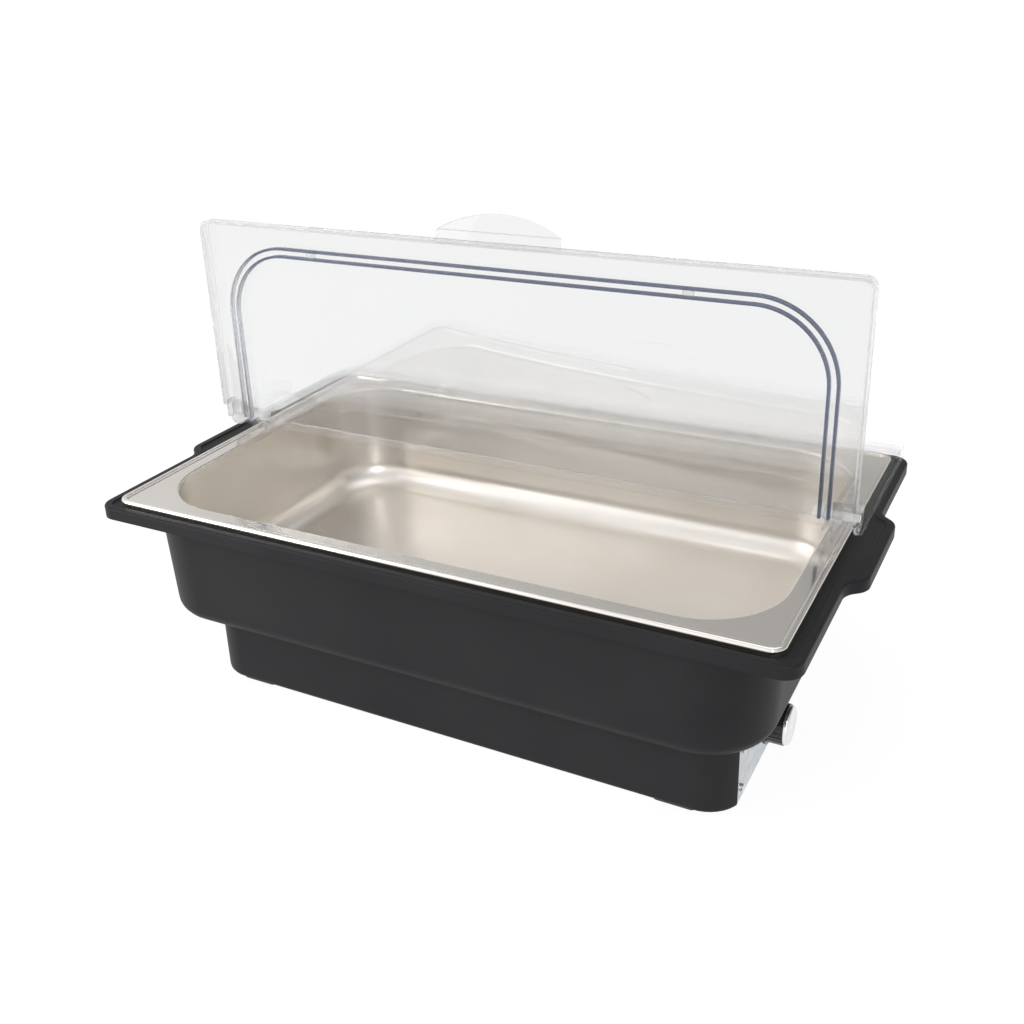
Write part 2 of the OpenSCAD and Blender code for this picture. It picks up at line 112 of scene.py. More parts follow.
def edit(piece, kind="FACE"):
    """Opens a piece in edit mode with nothing selected."""
    only(piece)
    bpy.ops.object.mode_set(mode="EDIT")
    bpy.ops.mesh.select_mode(type=kind)
    bpy.ops.mesh.select_all(action="DESELECT")


def pick(kind, test):
    """Selects the faces, edges or vertices that pass a test and returns how many there are."""
    bpy.ops.mesh.select_mode(type=kind)
    bpy.ops.mesh.select_all(action="DESELECT")
    data = bmesh.from_edit_mesh(bpy.context.object.data)
    parts = {"FACE": data.faces, "EDGE": data.edges, "VERT": data.verts}[kind]
    chosen = [p for p in parts if test(p)]
    for p in chosen:
        p.select_set(True)
    bmesh.update_edit_mesh(bpy.context.object.data)
    return len(chosen)


def drop_faces(test):
    """Deletes the faces that pass a test."""
    pick("FACE", test)
    bpy.ops.mesh.delete(type="FACE")


def pick_flat(facing):
    """Selects the large flat face inside a rounded outline, above for 1 and below for -1."""
    return pick("FACE", lambda f: f.normal.z * facing > 0.99 and len(f.verts) > 20)


def middle(edge):
    """The point halfway along an edge."""
    return (edge.verts[0].co + edge.verts[1].co) / 2


def upright(edge):
    """True for an edge that runs straight up."""
    span = edge.verts[1].co - edge.verts[0].co
    return abs(span.z) > 0.999 * span.length and span.length > 1e-6


def level(edge, z):
    """True for an edge that lies at a height."""
    return all(abs(v.co.z - z) < SAME_HEIGHT for v in edge.verts)


def flat_at(face, z):
    """True for a flat face that lies at a height."""
    return abs(face.normal.z) > 0.99 and abs(face.calc_center_median().z - z) < SAME_HEIGHT


def bevel(width, segments, affect="EDGES"):
    """Rounds what is picked."""
    bpy.ops.mesh.bevel(offset=width, segments=segments, affect=affect, clamp_overlap=False)


def inset(thickness, depth=0.0):
    """Insets the picked face and moves it along its normal."""
    bpy.ops.mesh.inset(thickness=thickness, depth=depth, use_boundary=True)


def curl(radius, steps, start, end):
    """Insets the picked face along an arc, whose angle is 0 on an upright wall and 90 on the flat."""
    for step in range(steps):
        here = math.radians(start + (end - start) * step / steps)
        there = math.radians(start + (end - start) * (step + 1) / steps)
        across = radius * abs(math.cos(here) - math.cos(there))
        down = radius * abs(math.sin(there) - math.sin(here))
        inset(across, -down)


def terrace(steps):
    """Insets the picked face step by step. Each step has its width and its rise in millimetres."""
    for width, rise in steps:
        inset(width * MM, rise * MM)


def total_rise(steps):
    """How far a terrace rises, in metres."""
    return sum(rise for width, rise in steps) * MM


def finish_mesh(piece, smooth=35):
    """Shades a piece smooth up to an angle and lets its large faces lead the shading."""
    only(piece)
    bpy.ops.object.shade_smooth_by_angle(angle=math.radians(smooth))
    weighted = piece.modifiers.new("weighted", "WEIGHTED_NORMAL")
    weighted.keep_sharp = True
    bpy.ops.object.modifier_apply(modifier=weighted.name)
    return piece


def turn_out(weight):
    """Merges an open skin and turns it so that its face of the greatest weight looks up."""
    bpy.ops.mesh.select_all(action="SELECT")
    bpy.ops.mesh.remove_doubles(threshold=SAME_PLACE)
    bpy.ops.mesh.normals_make_consistent(inside=False)
    data = bmesh.from_edit_mesh(bpy.context.object.data)
    data.normal_update()
    face = max(data.faces, key=weight)
    if face.normal.z < 0:
        bpy.ops.mesh.select_all(action="SELECT")
        bpy.ops.mesh.flip_normals()


def thicken(piece, thickness):
    """Gives an open skin its wall."""
    only(piece)
    wall = piece.modifiers.new("wall", "SOLIDIFY")
    wall.thickness = thickness
    wall.offset = -1
    wall.use_even_offset = True
    wall.use_quality_normals = True
    bpy.ops.object.modifier_apply(modifier=wall.name)


def cut(piece, tool, operation="DIFFERENCE"):
    """Applies a boolean with a tool piece and removes the tool."""
    only(piece)
    step = piece.modifiers.new("cut", "BOOLEAN")
    step.operation = operation
    step.solver = "EXACT"
    step.object = tool
    bpy.ops.object.modifier_apply(modifier=step.name)
    bpy.data.objects.remove(tool)


def join(pieces, name):
    """Joins pieces into one object."""
    deselect_all()
    for p in pieces:
        p.select_set(True)
    bpy.context.view_layer.objects.active = pieces[0]
    bpy.ops.object.join()
    pieces[0].name = name
    return pieces[0]


shell_low, shell_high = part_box("housing_shell")
LIP_TOP = shell_high.z
LIP_HALF_W = shell_high.y
GRIP_OUT = 13 * MM
LIP_HALF_L = shell_high.x - GRIP_OUT
LIP_DROP = 9.5 * MM
LIP_CORNER = 14 * MM
LIP_EDGE = 1.6 * MM
LIP_STEPS = ((4.3, 0), (0.35, -0.25), (0.3, -0.8), (0.35, -0.25))
SHELF = LIP_TOP + total_rise(LIP_STEPS)
SHELF_PULL = 267.25 / 270.4
WALL = 3 * MM
GRIP_HALF = 46 * MM
GRIP_ROOT = 57 * MM
GRIP_CORNER = 6 * MM
TUB_HALF_L = 253 * MM
TUB_HALF_W = 158 * MM
TUB_FLOOR = 57.5 * MM
TUB_STEP = 55 * MM
TUB_CORNER = 53 * MM
TUB_EDGE = 2 * MM
TUB_TAPER = 3.4 * MM
TUB_ROUND = 9.5 * MM
FOOT = shell_low.z
BASE_SHIFT = 14.5 * MM
BASE_HALF_L = 220 * MM
BASE_HALF_W = 142.5 * MM
BASE_CORNER = 29 * MM
BASE_EDGE = 4 * MM
TRAY_LEDGE = 8 * MM
OPENING_CORNER = 14 * MM
PLATE_PLAY = 0.5 * MM
tray_low, tray_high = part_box("water_tray")

# The lip: a slab with its grips drawn out of the short sides and its corners rounded
lip = block("lip", (-LIP_HALF_L, -LIP_HALF_W, LIP_TOP - LIP_DROP), (LIP_HALF_L, LIP_HALF_W, LIP_TOP))
edit(lip)
for y in (-GRIP_ROOT, -GRIP_HALF, GRIP_HALF, GRIP_ROOT):
    bpy.ops.mesh.select_all(action="SELECT")
    bpy.ops.mesh.bisect(plane_co=(0, y, 0), plane_no=(0, 1, 0))
for side in (-1, 1):
    pick("VERT", lambda v: v.co.x * side > LIP_HALF_L - MM and abs(v.co.y) < GRIP_HALF + MM)
    bpy.ops.transform.translate(value=(side * GRIP_OUT, 0, 0))
bpy.ops.mesh.select_all(action="SELECT")
bpy.ops.mesh.dissolve_limited(angle_limit=math.radians(1))
pick("EDGE", lambda e: upright(e) and abs(middle(e).y) > LIP_HALF_W - MM)
bevel(LIP_CORNER, 10)
pick("EDGE", lambda e: (upright(e) and abs(middle(e).x) > LIP_HALF_L - MM
                        and abs(middle(e).y) < GRIP_ROOT + MM))
bevel(GRIP_CORNER, 6)
drop_faces(lambda f: f.normal.z < -0.9)
pick("EDGE", lambda e: level(e, LIP_TOP) and len(e.link_faces) == 2)
bevel(LIP_EDGE, 4)
pick_flat(1)
terrace(LIP_STEPS)
bpy.ops.transform.resize(value=(SHELF_PULL, 1, 1), center_override=(0, 0, 0))
bpy.ops.mesh.delete(type="ONLY_FACE")

# The tub: its wall, the rounded lower edge and the floor with the opening that the water tray hangs in
tub = sheet_plane("tub", 2 * TUB_HALF_L, 2 * TUB_HALF_W, SHELF)
edit(tub, "VERT")
bpy.ops.mesh.select_all(action="SELECT")
bevel(TUB_CORNER, 12, "VERTICES")
pick("FACE", lambda f: True)
curl(TUB_EDGE, 3, 90, 0)
inset(TUB_TAPER, -(SHELF - TUB_FLOOR - TUB_EDGE - TUB_ROUND))
curl(TUB_ROUND, 6, 0, 90)
inset(3 * MM)
bpy.ops.mesh.delete(type="ONLY_FACE")

# Lip and tub meet on the shelf, and the tub floor ends at the opening for the water tray
opening = sheet_plane("opening", tray_high.x - tray_low.x - 2 * TRAY_LEDGE,
                      tray_high.y - tray_low.y - 2 * TRAY_LEDGE, TUB_FLOOR, (tray_high.x + tray_low.x) / 2)
edit(opening, "VERT")
bpy.ops.mesh.select_all(action="SELECT")
bevel(OPENING_CORNER, 6, "VERTICES")
pick("FACE", lambda f: True)
bpy.ops.mesh.delete(type="ONLY_FACE")
housing = join([lip, tub, opening], "housing_moulding")
edit(housing, "EDGE")
pick("EDGE", lambda e: level(e, SHELF) and e.is_boundary)
bpy.ops.mesh.fill(use_beauty=True)
pick("EDGE", lambda e: level(e, TUB_FLOOR) and (e.is_boundary or e.is_wire))
bpy.ops.mesh.fill(use_beauty=True)
turn_out(lambda f: f.calc_area() if flat_at(f, SHELF) else 0)
thicken(housing, WALL)

# The base: an open box with rounded corners and a rolled lower edge, cut out at the control end
base = block("base", (BASE_SHIFT - BASE_HALF_L, -BASE_HALF_W, FOOT),
             (BASE_SHIFT + BASE_HALF_L, BASE_HALF_W, TUB_STEP + 1 * MM))
edit(base)
pick("EDGE", upright)
bevel(BASE_CORNER, 10)
drop_faces(lambda f: f.normal.z > 0.9)
pick("EDGE", lambda e: level(e, FOOT))
bevel(BASE_EDGE, 4)
pick_flat(-1)
bpy.ops.mesh.delete(type="FACE")
bpy.ops.mesh.select_all(action="SELECT")
bpy.ops.mesh.normals_make_consistent(inside=False)
thicken(base, WALL)
plate_low, plate_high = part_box("control_plate")
window = block("window", (plate_high.x - 5 * MM, plate_low.y - PLATE_PLAY, 0),
               (plate_high.x + 40 * MM, plate_high.y + PLATE_PLAY, TUB_STEP))
cut(base, window)
housing = join([housing, base], "housing_moulding")
finish_mesh(housing)


def material(name):
    """A new material with its shader, its pattern coordinates and a way to add nodes."""
    made = bpy.data.materials.new(name)
    made.use_nodes = True
    nodes = made.node_tree.nodes
    shader = nodes["Principled BSDF"]
    place = nodes.new("ShaderNodeTexCoord")
    return made, nodes, made.node_tree.links, shader, place.outputs["Object"]


def noise(nodes, links, place, scale, detail=3.0, stretch=(1, 1, 1), rough=0.55):
    """Noise on the piece's own coordinates, stretched along an axis where the finish has a direction."""
    mapping = nodes.new("ShaderNodeMapping")
    mapping.inputs["Scale"].default_value = stretch
    texture = nodes.new("ShaderNodeTexNoise")
    texture.inputs["Scale"].default_value = scale
    texture.inputs["Detail"].default_value = detail
    texture.inputs["Roughness"].default_value = rough
    links.new(place, mapping.inputs["Vector"])
    links.new(mapping.outputs["Vector"], texture.inputs["Vector"])
    return texture.outputs["Fac"]


def spread(nodes, links, value, low, high, start=0.3, end=0.7):
    """Maps a pattern to a range of numbers."""
    ramp = nodes.new("ShaderNodeMapRange")
    ramp.inputs["From Min"].default_value = start
    ramp.inputs["From Max"].default_value = end
    ramp.inputs["To Min"].default_value = low
    ramp.inputs["To Max"].default_value = high
    links.new(value, ramp.inputs["Value"])
    return ramp.outputs["Result"]


def tint(nodes, links, value, dark, light):
    """Maps a pattern to a blend of two colours."""
    ramp = nodes.new("ShaderNodeValToRGB")
    ramp.color_ramp.elements[0].position = 0.3
    ramp.color_ramp.elements[1].position = 0.7
    ramp.color_ramp.elements[0].color = (*dark, 1)
    ramp.color_ramp.elements[1].color = (*light, 1)
    links.new(value, ramp.inputs["Fac"])
    return ramp.outputs["Color"]


def relief(nodes, links, shader, height, distance, strength=1.0):
    """Bump from a pattern, with its depth in metres."""
    bump = nodes.new("ShaderNodeBump")
    bump.inputs["Distance"].default_value = distance
    bump.inputs["Strength"].default_value = strength
    links.new(height, bump.inputs["Height"])
    links.new(bump.outputs["Normal"], shader.inputs["Normal"])


def finish(nodes, links, shader, pattern, dark, light, low, high):
    """Lets one pattern break up the tone and the roughness of a finish."""
    links.new(tint(nodes, links, pattern, dark, light), shader.inputs["Base Color"])
    links.new(spread(nodes, links, pattern, low, high), shader.inputs["Roughness"])


def wear(piece, made):
    """Gives a piece one material."""
    piece.data.materials.clear()
    piece.data.materials.append(made)


moulded, nodes, links, shader, place = material("moulded_polypropylene")
mottle = noise(nodes, links, place, 9, 2)
grain = noise(nodes, links, place, 1600, 2)
links.new(tint(nodes, links, mottle, (0.011, 0.011, 0.0125), (0.0155, 0.0155, 0.017)),
          shader.inputs["Base Color"])
links.new(spread(nodes, links, grain, 0.44, 0.54), shader.inputs["Roughness"])
shader.inputs["Specular IOR Level"].default_value = 0.14
relief(nodes, links, shader, grain, 0.00006, 0.5)
wear(housing, moulded)
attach(housing, "housing")
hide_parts("housing_shell")

# ---- Feet ----
# Four soft rubber pads, moulded with rounded corners and a rounded lower edge, and stuck under the corners
# of the base.
def moulding(name, dark, light, low, high, scale, bump=0.0001):
    """Plastic, rubber or fibre, its tone and gloss broken up by one pattern."""
    made, nodes, links, shader, place = material(name)
    pattern = noise(nodes, links, place, scale, 4)
    finish(nodes, links, shader, pattern, dark, light, low, high)
    relief(nodes, links, shader, pattern, bump, 0.4)
    return made


PAD_LENGTH = 32 * MM
PAD_WIDTH = 9 * MM
rubber = moulding("foot_rubber", (0.014, 0.014, 0.014), (0.03, 0.03, 0.029), 0.72, 0.88, 220)
pads_low, pads_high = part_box("foot_pads")
pad_size = Vector((PAD_LENGTH, PAD_WIDTH, pads_high.z - pads_low.z))
pads = []
for corner in ((0, 0), (1, 0), (0, 1), (1, 1)):
    low = Vector((pads_low.x if corner[0] == 0 else pads_high.x - pad_size.x,
                  pads_low.y if corner[1] == 0 else pads_high.y - pad_size.y, pads_low.z))
    pad = block("pad", low, low + pad_size)
    edit(pad)
    pick("EDGE", upright)
    bevel(4 * MM, 6)
    pick("EDGE", lambda e: level(e, pads_low.z))
    bevel(0.8 * MM, 3)
    pads.append(pad)
feet = finish_mesh(join(pads, "feet"))
wear(feet, rubber)
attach(feet, "housing")
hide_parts("foot_pads")

# ---- Food pan ----
# A full-size catering pan, deep drawn from one stainless sheet: a flat rim with a raised, turned-down edge,
# sloping walls with large corners, and a wide round from wall to floor. Only the rim is polished bright.
pan_low, pan_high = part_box("food_pan")
PAN_TOP = pan_high.z
SHEET = 0.8 * MM
RIM = 15.5 * MM
RIM_DROP = 5.4 * MM
RIM_CORNER = 11 * MM
RIM_EDGE = 2.4 * MM
RIM_STEPS = ((1.6, 0), (0.6, -0.5), (0.3, -1.6), (0.5, 0), (0.4, 0.5), (0.5, 0))
LAND = PAN_TOP + total_rise(RIM_STEPS)
BOWL_CORNER = 60 * MM
BOWL_EDGE = 1.8 * MM
BOWL_NECK = 3 * MM
BOWL_TAPER = 3.4 * MM
FLOOR_ROUND = 22 * MM
CORNER_STEPS = 14
rim = block("rim", (pan_low.x, pan_low.y, PAN_TOP - RIM_DROP), pan_high)
edit(rim)
pick("EDGE", upright)
bevel(RIM_CORNER, CORNER_STEPS)
drop_faces(lambda f: f.normal.z < -0.9)
pick("EDGE", lambda e: level(e, PAN_TOP) and len(e.link_faces) == 2)
bevel(RIM_EDGE, 6)
pick_flat(1)
terrace(RIM_STEPS)
bpy.ops.mesh.delete(type="ONLY_FACE")
bowl = sheet_plane("bowl", pan_high.x - pan_low.x - 2 * RIM, pan_high.y - pan_low.y - 2 * RIM, LAND)
edit(bowl, "VERT")
bpy.ops.mesh.select_all(action="SELECT")
bevel(BOWL_CORNER, CORNER_STEPS, "VERTICES")
pick("FACE", lambda f: True)
curl(BOWL_EDGE, 4, 90, 0)
floor_z = pan_low.z + SHEET
inset(0.3 * MM, -BOWL_NECK)
inset(BOWL_TAPER, -(LAND - floor_z - BOWL_EDGE - BOWL_NECK - FLOOR_ROUND))
curl(FLOOR_ROUND, 12, 0, 90)
inset(4 * MM)
food_pan = join([rim, bowl], "food_pan_drawn")
edit(food_pan, "EDGE")
pick("EDGE", lambda e: level(e, LAND) and e.is_boundary)
bpy.ops.mesh.bridge_edge_loops()
turn_out(lambda f: f.calc_area() if abs(f.normal.z) > 0.99 else 0)
thicken(food_pan, SHEET)
finish_mesh(food_pan, 50)

pan_steel, nodes, links, shader, place = material("pan_stainless")
brush = noise(nodes, links, place, 60, 5, (1, 26, 26), 0.65)
cloud = noise(nodes, links, place, 7, 3)
split = nodes.new("ShaderNodeSeparateXYZ")
links.new(place, split.inputs["Vector"])
polish = spread(nodes, links, split.outputs["Z"], 0.0, 1.0, LAND - 6 * MM, LAND - 1.5 * MM)
satin = spread(nodes, links, brush, 0.28, 0.36)
rim_rough = nodes.new("ShaderNodeMix")
links.new(polish, rim_rough.inputs[0])
links.new(satin, rim_rough.inputs[2])
rim_rough.inputs[3].default_value = 0.13
links.new(rim_rough.outputs[0], shader.inputs["Roughness"])
links.new(tint(nodes, links, cloud, (0.71, 0.672, 0.625), (0.78, 0.748, 0.705)), shader.inputs["Base Color"])
shader.inputs["Metallic"].default_value = 1.0
relief(nodes, links, shader, brush, 0.00001, 0.3)
wear(food_pan, pan_steel)
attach(food_pan, "pan")
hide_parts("food_pan")

# ---- Clear lid ----
# Two leaves moulded from clear polycarbonate, each a flat panel with a shallow skirt on three sides, two
# ribs that ring the pan's opening, small blocks between them, a half-moon tab and knuckles for the pins.
HINGE_Z = 172 * MM
PANEL_TOP = 163 * MM
PANEL_T = 2.6 * MM
PANEL_CORNER = 8 * MM
PANEL_EDGE = 1.8 * MM
LEAF_HALF = 272.5 * MM
LEAF_FAR = 174 * MM
EDGE_GAP = 2 * MM
SKIRT_DROP = 10 * MM
RIB_LOW = 156.8 * MM
RIB_IN = 18.2 * MM
RIB_STEP = 6.3 * MM
RIB_W = 2.2 * MM
RIB_ROUND = 60 * MM
TIE_HALF = 4 * MM
KNUCKLE_R = 5.5 * MM
BORE_R = 3.05 * MM
EAR_R = 11.5 * MM
EAR_T = 2.4 * MM
WEB_REACH = 14 * MM
TAB_TILT = math.radians(25)
EMBED = 0.05 * MM


def rod(name, x0, x1, y, z, radius, sides=48):
    """A cylinder along X between two stations."""
    deselect_all()
    bpy.ops.mesh.primitive_cylinder_add(vertices=sides, radius=radius, depth=x1 - x0,
                                        location=((x0 + x1) / 2, y, z), rotation=(0, math.pi / 2, 0))
    piece = bpy.context.object
    piece.name = name
    bpy.ops.object.transform_apply(location=True, rotation=True, scale=True)
    return piece


def round_edges(piece, width, segments=3, angle=40):
    """Rounds every edge sharper than an angle."""
    only(piece)
    step = piece.modifiers.new("round", "BEVEL")
    step.width = width
    step.segments = segments
    step.limit_method = "ANGLE"
    step.angle_limit = math.radians(angle)
    bpy.ops.object.modifier_apply(modifier=step.name)


def panel_shell(name):
    """The panel with its skirt, closed on the +Y side, with room at its ends for the other leaf's ears."""
    shell = block(name, (-LEAF_HALF, EDGE_GAP, PANEL_TOP - SKIRT_DROP), (LEAF_HALF, LEAF_FAR, PANEL_TOP))
    edit(shell)
    pick("EDGE", lambda e: upright(e) and middle(e).y > LEAF_FAR - MM)
    bevel(PANEL_CORNER, 10)
    pick("EDGE", lambda e: level(e, PANEL_TOP) and len(e.link_faces) == 2 and min(
        f.normal.y for f in e.link_faces) > -0.5)
    bevel(PANEL_EDGE, 4)
    drop_faces(lambda f: f.normal.z < -0.9 or f.normal.y < -0.9)
    notch_x = LEAF_HALF - 3 * MM
    notch_y = EAR_R + MM
    for spot, facing in (((notch_x, 0, 0), (1, 0, 0)), ((-notch_x, 0, 0), (1, 0, 0)),
                         ((0, notch_y, 0), (0, 1, 0))):
        bpy.ops.mesh.select_all(action="SELECT")
        bpy.ops.mesh.bisect(plane_co=spot, plane_no=facing)
    drop_faces(lambda f: abs(f.calc_center_median().x) > notch_x and f.calc_center_median().y < notch_y)
    bpy.ops.mesh.select_all(action="SELECT")
    bpy.ops.mesh.remove_doubles(threshold=SAME_PLACE)
    thicken(shell, PANEL_T)
    return shell


def arch_rib(name, half, far, radius):
    """One rib that runs from the hinge line round the leaf and back."""
    rib = block(name, (-half, EDGE_GAP, RIB_LOW), (half, far, PANEL_TOP - PANEL_T + EMBED))
    edit(rib)
    pick("EDGE", lambda e: upright(e) and middle(e).y > far - MM)
    bevel(radius, 20)
    drop_faces(lambda f: abs(f.normal.z) > 0.9 or f.normal.y < -0.9)
    thicken(rib, RIB_W)
    round_edges(rib, 0.35 * MM, 2, 50)
    return rib


def half_moon_tab(name):
    """The lifting tab: a strip trimmed by a large arc, its corners rounded, tilted up from the free edge."""
    half = 51.5 * MM
    reach = 21.4 * MM
    side_h = 7 * MM
    rise = reach - side_h
    radius = (half * half + rise * rise) / (2 * rise)
    low_z = PANEL_TOP - PANEL_T
    tab = block(name, (-half, LEAF_FAR - 1.2 * MM, low_z), (half, LEAF_FAR + reach + MM, PANEL_TOP))
    deselect_all()
    bpy.ops.mesh.primitive_cylinder_add(vertices=360, radius=radius, depth=40 * MM,
                                        location=(0, LEAF_FAR + reach - radius, PANEL_TOP))
    arc = bpy.context.object
    bpy.ops.object.transform_apply(location=True, rotation=True, scale=True)
    cut(tab, arc, "INTERSECT")
    edit(tab)
    pick("EDGE", lambda e: upright(e) and abs(middle(e).x) > half - MM and middle(e).y > LEAF_FAR + MM)
    bevel(4 * MM, 8)
    bpy.ops.object.mode_set(mode="OBJECT")
    round_edges(tab, 0.7 * MM, 3, 50)
    pivot = Vector((0, LEAF_FAR - 0.5 * MM, low_z))
    tab.data.transform(Matrix.Translation(pivot) @ Matrix.Rotation(TAB_TILT, 4, "X")
                       @ Matrix.Translation(-pivot))
    return tab


def knuckle(name, x0, x1):
    """A hinge knuckle with its web down to the panel, bored for the pin."""
    barrel = rod(name, x0, x1, 0, HINGE_Z, KNUCKLE_R)
    back = 0.45 * KNUCKLE_R
    shoulder = 0.6 * KNUCKLE_R
    web = block("web", (x0, -back, PANEL_TOP - 0.6 * MM), (x1, WEB_REACH, HINGE_Z + shoulder))
    edit(web, "VERT")
    pick("VERT", lambda v: v.co.y > 0 and v.co.z > HINGE_Z)
    bpy.ops.transform.translate(value=(0, 0, -(shoulder + 8 * MM)))
    pick("VERT", lambda v: v.co.y < 0 and v.co.z < HINGE_Z)
    bpy.ops.transform.translate(value=(0, back + EDGE_GAP, 0))
    bpy.ops.object.mode_set(mode="OBJECT")
    cut(barrel, web, "UNION")
    cut(barrel, rod("bore", x0 - MM, x1 + MM, 0, HINGE_Z, BORE_R))
    round_edges(barrel, 0.3 * MM, 2, 50)
    return barrel


def ear(name, side):
    """The round ear at the end of the front leaf that carries the pin's tip."""
    x0, x1 = sorted((side * (LEAF_HALF - EAR_T), side * LEAF_HALF))
    disc = rod(name, x0, x1, 0, HINGE_Z, EAR_R, 64)
    cheek = block("cheek", (x0, 0, PANEL_TOP - SKIRT_DROP + 0.5 * MM),
                  (x1, EAR_R + 4 * MM, PANEL_TOP + 4 * MM))
    cut(disc, cheek, "UNION")
    cut(disc, rod("bore", x0 - MM, x1 + MM, 0, HINGE_Z, BORE_R))
    cut(disc, block("trim", (x0 - MM, -20 * MM, 140 * MM), (x1 + MM, 20 * MM, RIB_LOW)))
    round_edges(disc, 0.4 * MM, 2, 50)
    return disc


def bridge_blocks(name, stations, far):
    """Small blocks that tie the two ribs together."""
    made = []
    for x in stations:
        tie = block(name, (x - TIE_HALF, far - RIB_STEP - 0.2 * MM, RIB_LOW + 0.3 * MM),
                    (x + TIE_HALF, far - RIB_W + 0.2 * MM, PANEL_TOP - PANEL_T + EMBED))
        round_edges(tie, 0.6 * MM, 3, 50)
        made.append(tie)
    return made


def stand_open(piece):
    """Mirrors a piece made lying on the +Y side and swings it up about the pins, as the front leaf is."""
    hinge = Matrix.Translation((0, 0, HINGE_Z))
    piece.data.transform(hinge @ Matrix.Rotation(math.radians(-90), 4, "X") @ hinge.inverted()
                         @ Matrix.Diagonal((1, -1, 1, 1)))
    piece.data.flip_normals()


def clear_plastic(name, colour, roughness, scuffing, solidity, bending=1.3):
    """Clear moulded plastic with the faint ripple of a moulding and fine handling marks."""
    made, nodes, links, shader, place = material(name)
    ripple = noise(nodes, links, place, 14, 1)
    scuff = noise(nodes, links, place, 90, 6, (1, 5, 1), 0.7)
    dulled = tuple(0.985 * channel for channel in colour)
    links.new(tint(nodes, links, ripple, dulled, colour), shader.inputs["Base Color"])
    marks = spread(nodes, links, scuff, roughness, roughness + scuffing, 0.45, 0.75)
    links.new(marks, shader.inputs["Roughness"])
    shader.inputs["Transmission Weight"].default_value = 1.0
    shader.inputs["IOR"].default_value = bending
    shader.inputs["Alpha"].default_value = solidity
    relief(nodes, links, shader, ripple, 0.0002, 0.15)
    return made


# The standing leaf's panel is a greyer, more solid copy of the same clear polycarbonate as the lying one;
# its grey is painted shade
painted_shade_panel = clear_plastic("standing_panel_painted_shade_polycarbonate", (0.66, 0.665, 0.67), 0.0, 0.02, 0.42, 1.42)
lying_panel = clear_plastic("lying_panel_polycarbonate", (0.97, 0.975, 0.98), 0.0, 0.02, 0.15, 1.22)
clear_rib = clear_plastic("clear_rib_polycarbonate", (0.90, 0.91, 0.92), 0.01, 0.03, 0.35)

# The ribs of the standing leaf are seen edge on, as two dark lines that pale at the left upright. Their dark
# blue-grey colour is painted shade, and their paling towards the left upright is painted light.
PAINTED_SHADE_TONE = (0.10, 0.12, 0.19)
PAINTED_LIGHT_TONE = (0.62, 0.64, 0.68)
PAINTED_LIGHT_X = -247 * MM
PAINTED_SHADE_X = -225 * MM
painted_light_and_shade_rib = clear_plastic("painted_light_and_shade_rib_polycarbonate", PAINTED_SHADE_TONE, 0.08, 0.06, 0.85)
nodes, links = painted_light_and_shade_rib.node_tree.nodes, painted_light_and_shade_rib.node_tree.links
along = nodes.new("ShaderNodeSeparateXYZ")
rib_place = next(n for n in nodes if n.bl_idname == "ShaderNodeTexCoord").outputs["Object"]
links.new(rib_place, along.inputs["Vector"])
# Painted light: the rib's painted dark shade turns to a pale grey towards the left upright
painted_light_fade = spread(nodes, links, along.outputs["X"], 0.3, 0.7, PAINTED_LIGHT_X, PAINTED_SHADE_X)
links.new(tint(nodes, links, painted_light_fade, PAINTED_LIGHT_TONE, PAINTED_SHADE_TONE), nodes["Principled BSDF"].inputs["Base Color"])

# Both leaves are made lying on the +Y side, and the front one is then stood open
rib_x = LEAF_HALF - RIB_IN
rib_far = LEAF_FAR - RIB_IN
leaves = {
    "rear": {"body": "lid_rear", "node": "rear_leaf", "clear": lying_panel, "ribs": clear_rib,
             "ties": (-146, -3, 153), "knuckles": ((248, 254.6), (261.4, 269.6))},
    # The front leaf wears the greyer panel copy with painted shade, and the ribs whose colour carries
    # painted shade and painted light
    "front": {"body": "lid_front", "node": "front_leaf", "clear": painted_shade_panel, "ribs": painted_light_and_shade_rib,
              "ties": (-166, 148), "knuckles": ((255, 261),)},
}
for leaf_name, leaf in leaves.items():
    clear = [panel_shell("shell"), half_moon_tab("tab")]
    clear += bridge_blocks("tie", [x * MM for x in leaf["ties"]], rib_far)
    for x0, x1 in leaf["knuckles"]:
        clear.append(knuckle("knuckle", x0 * MM, x1 * MM))
        clear.append(knuckle("knuckle", -x1 * MM, -x0 * MM))
    if leaf_name == "front":
        clear += [ear("ear", -1), ear("ear", 1)]
    ribs = [arch_rib("rib", rib_x, rib_far, RIB_ROUND),
            arch_rib("rib", rib_x - RIB_STEP, rib_far - RIB_STEP, 0.9 * RIB_ROUND)]
    panel = join(clear, leaf_name + "_clear_panel")
    arches = join(ribs, leaf_name + "_ribs")
    for piece, plastic in ((panel, leaf["clear"]), (arches, leaf["ribs"])):
        if leaf_name == "front":
            stand_open(piece)
        finish_mesh(piece, 35)
        wear(piece, plastic)
        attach(piece, leaf["body"])
    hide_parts(leaf["node"])

# ---- Hinge pins ----
# Two headed pins turned from natural nylon, one at each end of the lid. Each has a rounded head on its inner
# end and a plain shank that passes out through the knuckles.
HEAD_LENGTH = 7.5 * MM
HEAD_R = 4.8 * MM
SHANK_R = 3 * MM


def pick_ring(x):
    """Selects the edges of a turned piece that lie at one station along X."""
    return pick("EDGE", lambda e: all(abs(v.co.x - x) < SAME_PLACE for v in e.verts))


